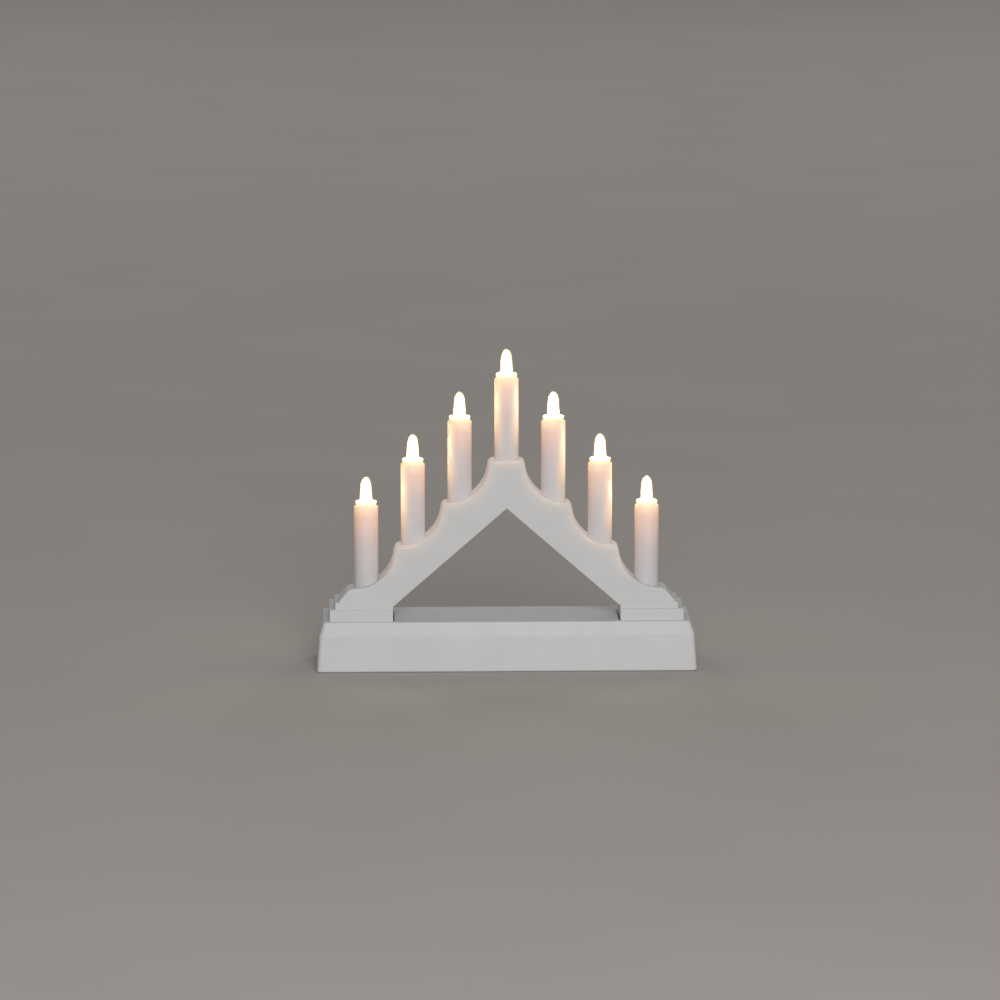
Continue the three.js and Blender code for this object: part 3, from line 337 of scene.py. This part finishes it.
def cad_copy(node):
    """A CAD node's mesh without double points and with whole flat faces."""
    bm = bmesh.new()
    bm.from_mesh(nodes[node].data)
    bmesh.ops.remove_doubles(bm, verts=bm.verts, dist=WELD)
    bmesh.ops.dissolve_limit(bm, angle_limit=FLAT, verts=bm.verts, edges=bm.edges)
    bm.normal_update()
    return bm


def finish_copy(bm, node, angle, body=ROOT, crisp=None):
    """Shades a dressed CAD copy, with flat faces kept flat beside rounded edges, and puts it in place."""
    shade(bm, angle, crisp)
    obj = object_from(bm, node + "_form")
    modifier = obj.modifiers.new("weighted", "WEIGHTED_NORMAL")
    modifier.keep_sharp = True
    modifier.use_face_influence = True
    modifier.weight = 80
    finish_piece(obj, node, body)


def round_edges(bm, width, pick, segments=3):
    """Rounds the outer edges that pick chooses."""
    edges = [e for e in bm.edges if len(e.link_faces) == 2 and e.is_convex and pick(e)]
    bmesh.ops.bevel(bm, geom=edges, offset=width, offset_type="OFFSET", segments=segments, profile=0.5,
                    affect="EDGES", clamp_overlap=True)
    bm.normal_update()


def steep(edge, degrees):
    return edge.calc_face_angle(0) > math.radians(degrees)


def both(edge, axis, value):
    """Whether both ends of an edge have this coordinate."""
    return all(abs(v.co[axis] - value) < SAME for v in edge.verts)


def close_seam(bm, level):
    """Lets a piece's underside sit down on the piece below."""
    for v in bm.verts:
        if abs(v.co.z - level) < SAME:
            v.co.z -= SEAM


def cut_away(obj, cutter):
    """Takes the cutter's shape out of a piece."""
    tool = object_from(cutter, "tool")
    cut = obj.modifiers.new("cut", "BOOLEAN")
    cut.object = tool
    cut.operation = "DIFFERENCE"
    cut.solver = "EXACT"
    graph = bpy.context.evaluated_depsgraph_get()
    mesh = bpy.data.meshes.new_from_object(obj.evaluated_get(graph))
    obj.modifiers.clear()
    obj.data = mesh
    bpy.data.objects.remove(tool)


def spin(bm, profile, sides, at, index=0):
    """Turns a profile round Z. It ends on the axis or closes on itself."""
    angles = [2 * math.pi * i / sides for i in range(sides)]
    rings = []
    for r, z in profile:
        if r < ON_AXIS:
            rings.append([bm.verts.new((at.x, at.y, z))])
        else:
            ring = [(at.x + r * math.cos(a), at.y + r * math.sin(a), z) for a in angles]
            rings.append([bm.verts.new(point) for point in ring])
    pairs = list(zip(rings, rings[1:]))
    if len(rings[0]) > 1 and len(rings[-1]) > 1:
        pairs.append((rings[-1], rings[0]))
    for a, b in pairs:
        for i in range(sides):
            j = (i + 1) % sides
            if len(a) == 1:
                face = bm.faces.new((a[0], b[j], b[i]))
            elif len(b) == 1:
                face = bm.faces.new((a[i], a[j], b[0]))
            else:
                face = bm.faces.new((a[i], a[j], b[j], b[i]))
            face.material_index = index


def turned(name, profile, sides, at, core=None):
    """A turned piece, with a core of its own inside it if one is given."""
    bm = bmesh.new()
    spin(bm, profile, sides, at)
    if core:
        spin(bm, core, sides, at, 1)
    bmesh.ops.recalc_face_normals(bm, faces=bm.faces)
    shade(bm, TURNED_CREASE)
    return object_from(bm, name)


def arc(cx, cz, radius, start, end, steps):
    angles = [math.radians(start + (end - start) * i / steps) for i in range(steps + 1)]
    return [(cx + radius * math.cos(a), cz + radius * math.sin(a)) for a in angles]


def clamped(value):
    return min(max(value, 0), 1)


# Base, feet and arch
def dressed_base():
    _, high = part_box("base_housing")
    bevel_height, rim_width, rounding = 7.2 * MM, 4.5 * MM, 0.5 * MM
    inner_x, inner_y = high.x - rim_width, high.y - rim_width

    def top_rim(e):
        return both(e, 2, high.z) and all(abs(v.co.x) > inner_x or abs(v.co.y) > inner_y for v in e.verts)

    bm = cad_copy("base_housing")
    round_edges(bm, rounding, top_rim)
    finish_copy(bm, "base_housing", BOX_CREASE, crisp=lambda e: both(e, 2, high.z - bevel_height))


def dressed_foot(node):
    low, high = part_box(node)
    ledge, bottom = high.z - 3.4 * MM, high.z - 9.5 * MM
    inner_end, end_band, slack, rounding = 59.7 * MM, 6 * MM, 0.2 * MM, 0.3 * MM
    shortest_top, shortest_upright, longest_upright = 8 * MM, 2 * MM, 7 * MM

    def outer(e):
        """The slabs' top edges and the uprights at their outer corners, but none of the tongue's."""
        if not steep(e, FORM_EDGE):
            return False
        if any(abs(v.co.x) < inner_end or v.co.z < bottom - slack for v in e.verts):
            return False
        first, second = (v.co for v in e.verts)
        length = e.calc_length()
        top = both(e, 2, high.z) or both(e, 2, ledge)
        upright = abs(first.z - second.z) > shortest_upright
        corner = min(abs(first.y - low.y), abs(first.y - high.y)) < end_band
        return top and length > shortest_top or upright and corner and length < longest_upright

    bm = cad_copy(node)
    round_edges(bm, rounding, outer)
    close_seam(bm, bottom)
    finish_copy(bm, node, BOX_CREASE)


def painted_light_height(point, low):
    """How far up in the arch's painted-light part a point is, from 0 to 1."""
    return clamped((point.z - low.z - PAINTED_LIGHT_FOOT) / PAINTED_LIGHT_RISE)


def paint_flame_light_on_top(bm, low):
    """Marks how much painted flame light the arch's upper faces get: none on its front, full on its top."""
    layer = bm.verts.layers.float.new("lit")
    slope = UNDERSIDE_RISE / UNDERSIDE_HALF
    fade, least_above, frontmost = 1.6 * MM, 6 * MM, -0.99
    for face in bm.faces:
        middle = face.calc_center_median()
        above = middle.z - (low.z + UNDERSIDE_RISE - slope * abs(middle.x))
        if face.normal.z > LOOKS_UP and face.normal.y > frontmost and above > least_above:
            for v in face.verts:
                v[layer] = clamped((v.co.y - low.y) / fade) * painted_light_height(v.co, low)


def front_faces(bm, low):
    return [f for f in bm.faces
            if f.normal.y < LOOKS_FRONT and abs(f.calc_center_median().y - low.y) < SAME]


def edges_of(faces):
    return list(dict.fromkeys(e for f in faces for e in f.edges))


def upper_rim(front):
    """Points along the upper edge of the arch's front face."""
    rim = []
    for edge in edges_of(front):
        if any(f.normal.z > LOOKS_UP and f not in front for f in edge.link_faces):
            a, b = (v.co for v in edge.verts)
            count = math.ceil((a - b).length / MM)
            rim += [a.lerp(b, i / count) for i in range(count + 1)]
    return rim


def paint_light_through_front(bm, low, high):
    """Marks painted light standing for flame light that shines through the front face's upper border,
    strongest at its edge.
    """
    layer = bm.verts.layers.float.new("warm")
    strength = bm.faces.layers.int.new(FACE_STRENGTH)
    front = front_faces(bm, low)
    rim = upper_rim(front)
    grid, fade = 1.5 * MM, 1.9 * MM
    for axis, across in ((0, Vector((1, 0, 0))), (2, Vector((0, 0, 1)))):
        for step in range(math.ceil(low[axis] / grid), math.floor(high[axis] / grid) + 1):
            corners = list(dict.fromkeys(v for f in front for v in f.verts))
            bmesh.ops.bisect_plane(bm, geom=front + edges_of(front) + corners, dist=WELD / 2,
                                   plane_co=across * step * grid, plane_no=across)
            front = front_faces(bm, low)
    for face in front:
        face[strength] = STRONG
    tree = KDTree(len(rim))
    for i, point in enumerate(rim):
        tree.insert(point, i)
    tree.balance()
    for v in bm.verts:
        _, _, distance = tree.find(v.co)
        v[layer] = painted_light_height(v.co, low) * math.exp(-distance / fade)


def dressed_arch():
    low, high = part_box("arch_shell")
    shortest, rounding = 3 * MM, 0.25 * MM

    def front_edge(e):
        long = steep(e, FORM_EDGE) and e.calc_length() > shortest
        return long and both(e, 1, low.y) and not both(e, 2, low.z)

    bm = cad_copy("arch_shell")
    round_edges(bm, rounding, front_edge)
    close_seam(bm, low.z)
    paint_flame_light_on_top(bm, low)
    paint_light_through_front(bm, low, high)
    finish_copy(bm, "arch_shell", ARCH_CREASE)


def plain_dressed(node, width, body=ROOT):
    """A CAD shape with its long edges slightly rounded."""
    bm = cad_copy(node)
    if width:
        round_edges(bm, width, lambda e: steep(e, PLAIN_EDGE) and e.calc_length() > 4 * width, 2)
    finish_copy(bm, node, BOX_CREASE, body)


# Candles
def paint_neighbour_light(obj, i, at, top):
    """Marks how much painted light the tube's wall gets from the next lower flame on either side."""
    level, reach = top - 26 * MM, 14 * MM
    sides = [side for side in (-1, 1) if 1 <= i + side <= CANDLES and side * (i - MIDDLE_CANDLE) >= 0]
    values = []
    for v in obj.data.vertices:
        out = (v.co - at) * Vector((1, 1, 0))
        facing = max([0, *[side * out.normalized().x for side in sides]])
        values.append(facing * math.exp(-((v.co.z - level) / reach) ** 2))
    obj.data.attributes.new("lit", "FLOAT", "POINT").data.foreach_set("value", values)


def candle_tube(i):
    node = f"candle_tube_{i}"
    low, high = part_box(node)
    at = (low + high) / 2
    outer = (high.x - low.x) / 2
    inner = outer - 1.3 * MM
    shoulder, lip = 0.95 * MM, 0.3 * MM
    bottom, top = low.z + lip, high.z - shoulder
    steps = 16
    profile = [
        (inner, low.z),
        *arc(outer - lip, bottom, lip, -90, 0, 3),
        *[(outer, bottom + (top - bottom) * step / steps) for step in range(1, steps)],
        *arc(outer - shoulder, top, shoulder, 0, 90, 6),
        *arc(inner + lip, high.z - lip, lip, 90, 180, 3),
    ]
    obj = turned(node + "_form", profile, TUBE_SIDES, at)
    paint_neighbour_light(obj, i, at, high.z)
    finish_piece(obj, node)


# Heights along a flame, closer together towards its round tip
FLAME_STEPS = [0.04, *[math.sin(math.pi / 2 * i / 20) for i in range(2, 21)]]


def flame_radius(t):
    """The flame narrows a little on its way up and ends in a round tip."""
    taper, tip_from, roundness = 0.24, 0.55, 2.6
    tip = max(t - tip_from, 0) / (1 - tip_from)
    return (1 - taper * t) * math.sqrt(max(1 - tip ** roundness, 0))


def flame_lens(i):
    node = f"flame_lens_{i}"
    low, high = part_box(node)
    at = (low + high) / 2
    sleeve_top = low.z + SLEEVE
    neck_top = sleeve_top + NECK
    collar_top = neck_top + COLLAR
    bore_top, core_foot = low.z + 8 * MM, low.z + 8.1 * MM
    bore, sleeve, neck, collar = 2.75 * MM, 4.8 * MM, 5.35 * MM, (high.x - low.x) / 2
    waist, skin = 3.4 * MM, 0.85 * MM
    ring, root = 0.65 * MM, 0.5 * MM
    profile = [
        (0, bore_top),
        (bore, bore_top),
        (bore, low.z),
        (sleeve, low.z),
        (sleeve, sleeve_top),
        (neck, sleeve_top),
        (neck, neck_top),
        *arc(collar - ring, neck_top + ring, ring, -80, 0, 4),
        *arc(collar - ring, collar_top - ring, ring, 0, 90, 4),
        *arc(waist + root, collar_top + root, root, 270, 180, 4)[:-1],
        *[(flame_radius(t) * waist, collar_top + t * (high.z - collar_top)) for t in FLAME_STEPS],
    ]
    core_height = high.z - skin - core_foot
    core = [
        (0, core_foot),
        *[(flame_radius(t) * (waist - skin), core_foot + t * core_height) for t in [0, *FLAME_STEPS]],
    ]
    finish_piece(turned(node + "_form", profile, LENS_SIDES, at, core), node, inside=flame_light)


# Screws and switch
def cross_screw(node, direction):
    """A pan-head screw with a cross recess, seen from the side that direction points to."""
    low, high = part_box(node)
    length = (high - low).dot(Vector(map(abs, direction)))
    shank, head_height, head, dome = 1.3 * MM, 1.6 * MM, 2.6 * MM, 0.9 * MM
    long, narrow, deep, taper = 2.9 * MM, 0.62 * MM, 1.8 * MM, 0.72
    profile = [
        (0, 0),
        (shank, shank),
        (shank, length - head_height),
        (head, length - head_height),
        *arc(head - dome, length - dome, dome, 0, 80, 5),
        (0, length - 0.02 * MM),
    ]
    obj = turned(node + "_form", profile, SCREW_SIDES, Vector((0, 0, 0)))
    for size in ((narrow, long, deep), (long, narrow, deep)):
        cutter = bmesh.new()
        bmesh.ops.create_cube(cutter, size=1)
        bmesh.ops.scale(cutter, vec=size, verts=cutter.verts)
        bmesh.ops.translate(cutter, vec=(0, 0, length), verts=cutter.verts)
        for v in cutter.verts:
            if v.co.z < length:
                v.co.x *= taper
                v.co.y *= taper
        cut_away(obj, cutter)
    turn = Vector((0, 0, 1)).rotation_difference(Vector(direction)).to_matrix().to_4x4()
    obj.data.transform(turn)
    axis = [abs(d) for d in direction].index(1)
    place = (low + high) / 2
    place[axis] = (high if sum(direction) > 0 else low)[axis]
    shift = place - turn @ Vector((0, 0, length))
    for v in obj.data.vertices:
        v.co += shift
    finish_piece(obj, node)


def switch_knob():
    """The slide knob with finger grooves across its grip."""
    low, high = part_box("switch_knob")
    middle = (low + high) / 2
    grip = high.y - 2.4 * MM
    pitch, groove, depth, rounding = 1.3 * MM, 0.4 * MM, 9 * MM, 0.2 * MM
    bm = cad_copy("switch_knob")
    round_edges(bm, rounding, lambda e: steep(e, PLAIN_EDGE) and all(v.co.y > grip for v in e.verts))
    obj = object_from(bm, "switch_knob_form")
    for step in (-1, 0, 1):
        cutter = bmesh.new()
        bmesh.ops.create_cone(cutter, cap_ends=True, segments=16, radius1=groove, radius2=groove,
                              depth=depth)
        bmesh.ops.translate(cutter, vec=(middle.x + step * pitch, high.y, middle.z), verts=cutter.verts)
        cut_away(obj, cutter)
    bm = bmesh.new()
    bm.from_mesh(obj.data)
    shade(bm, KNOB_CREASE)
    bm.to_mesh(obj.data)
    bm.free()
    finish_piece(obj, "switch_knob", "switch_knob")


make_camera()
dressed_base()
dressed_foot("foot_block_left")
dressed_foot("foot_block_right")
dressed_arch()
plain_dressed("arch_back_cover", 0.2 * MM)
plain_dressed("battery_door", 0.15 * MM, "battery_door")
plain_dressed("bottom_plate", 0)
switch_knob()
for number in range(1, CANDLES + 1):
    candle_tube(number)
    flame_lens(number)
for number in range(1, SCREWS + 1):
    cross_screw(f"cover_screw_{number}", (0, 1, 0))
    cross_screw(f"plate_screw_{number}", (0, 0, -1))
for name, obj in nodes.items():
    obj.data.materials.clear()
    obj.data.materials.append(materials[slot_of[name]])

# Floor and light. Each lamp has its place in metres and its power in watts.
LAMPS = {
    "key": ((0.22, -3.05, 1.2), 57),
    "back_left": ((-1.9, 3.3, 2.2), 16),
    "back_right": ((1.9, 3.3, 2.2), 16),
}
LAMP_WIDTH, LAMP_AIM = 1.6, Vector((0, 0, 80)) * MM
SKY_STRENGTH = 0.215
FLOOR_HALF, FLOOR_DROP = 9, 0.05 * MM


def make_stage():
    bm = bmesh.new()
    bmesh.ops.create_grid(bm, x_segments=2, y_segments=2, size=FLOOR_HALF)
    floor = object_from(bm, "floor")
    floor.location.z = -FLOOR_DROP
    surface = mottled("floor", (0.50, 0.46, 0.43), (0.52, 0.48, 0.45), (0.8, 0.9), 6,
                      bumps=((700, 4e-6),))
    surface.set("Specular IOR Level", 0.05)
    floor.data.materials.append(surface.material)
    world = bpy.data.worlds.new("world")
    world.use_nodes = True
    sky = world.node_tree.nodes["Background"]
    sky.inputs["Color"].default_value = (1.0, 1.0, 1.0, 1)
    sky.inputs["Strength"].default_value = SKY_STRENGTH
    bpy.context.scene.world = world
    for name, (place, power) in LAMPS.items():
        data = bpy.data.lights.new(name, "AREA")
        data.shape = "DISK"
        data.size = LAMP_WIDTH
        data.energy = power
        lamp = bpy.data.objects.new(name, data)
        lamp.location = place
        lamp.rotation_euler = (LAMP_AIM - lamp.location).to_track_quat("-Z", "Y").to_euler()
        bpy.context.scene.collection.objects.link(lamp)
    bpy.context.scene.view_settings.view_transform = "Standard"


make_stage()
bpy.context.view_layer.update()
